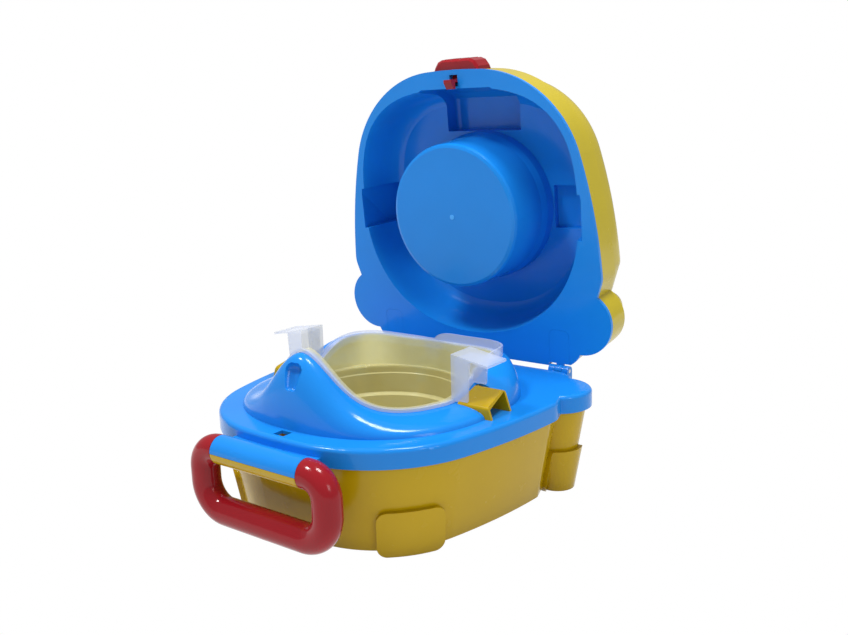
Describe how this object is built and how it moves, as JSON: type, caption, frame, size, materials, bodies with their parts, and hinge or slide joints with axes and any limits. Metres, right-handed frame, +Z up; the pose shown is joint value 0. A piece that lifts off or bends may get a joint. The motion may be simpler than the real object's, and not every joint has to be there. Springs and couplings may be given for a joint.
{
  "type": "suitcase-style travel potty",
  "caption": "Suitcase-style travel potty, lid open: hinged lid with latch, seat with clear bowl, tub base and swinging carrying handle.",
  "frame": {"origin": "on the floor, under the middle of the standing object's bounding box", "axes": "+X to the right seen from the front, +Y towards the hinge at the back, +Z up; the carrying handle is at -Y"},
  "size_m": [0.3246, 0.4038, 0.4119],
  "materials": {
    "shell_blue": "satin moulded polypropylene",
    "hinge_blue": "satin moulded polypropylene",
    "tub_yellow": "satin moulded polypropylene",
    "lid_yellow": "satin moulded polypropylene",
    "grip_red": "satin moulded polypropylene",
    "bowl_clear": "clear moulded polypropylene, slightly cloudy",
    "pin_steel": "drawn steel",
    "screw_steel": "zinc-plated steel"
  },
  "bodies": {
    "base": {"seat_deck": "shell_blue", "base_tub": "tub_yellow", "finger_channel_right": "tub_yellow", "finger_channel_left": "tub_yellow", "bowl": "bowl_clear", "hinge_pin_right": "pin_steel", "hinge_pin_left": "pin_steel", "deck_screws": "screw_steel", "handle_spindle": "pin_steel"},
    "lid": {"lid_liner": "shell_blue", "lid_shell": "lid_yellow", "hinge_plate_right": "hinge_blue", "hinge_plate_left": "hinge_blue", "latch_pin": "pin_steel", "latch_spring": "pin_steel"},
    "latch": {"latch_button": "grip_red", "latch_hook": "grip_red"},
    "handle": {"handle_front": "grip_red", "handle_rear": "grip_red", "handle_screws": "screw_steel"}
  },
  "joints": [
    {"name": "lid_hinge", "type": "hinge", "parent": "base", "child": "lid", "pos_m": [0, 0.12555, 0.1], "axis": [1, 0, 0], "range_deg": [0, 84.25]},
    {"name": "latch_press", "type": "hinge", "parent": "lid", "child": "latch", "pos_m": [0, 0.10535, 0.39044], "axis": [-1, 0, 0], "range_deg": [0, 8], "stiffness_Nm_per_rad": 0.5},
    {"name": "handle_swing", "type": "hinge", "parent": "base", "child": "handle", "pos_m": [0, -0.18945, 0.084], "axis": [-1, 0, 0], "range_deg": [-8, 100]}
  ]
}
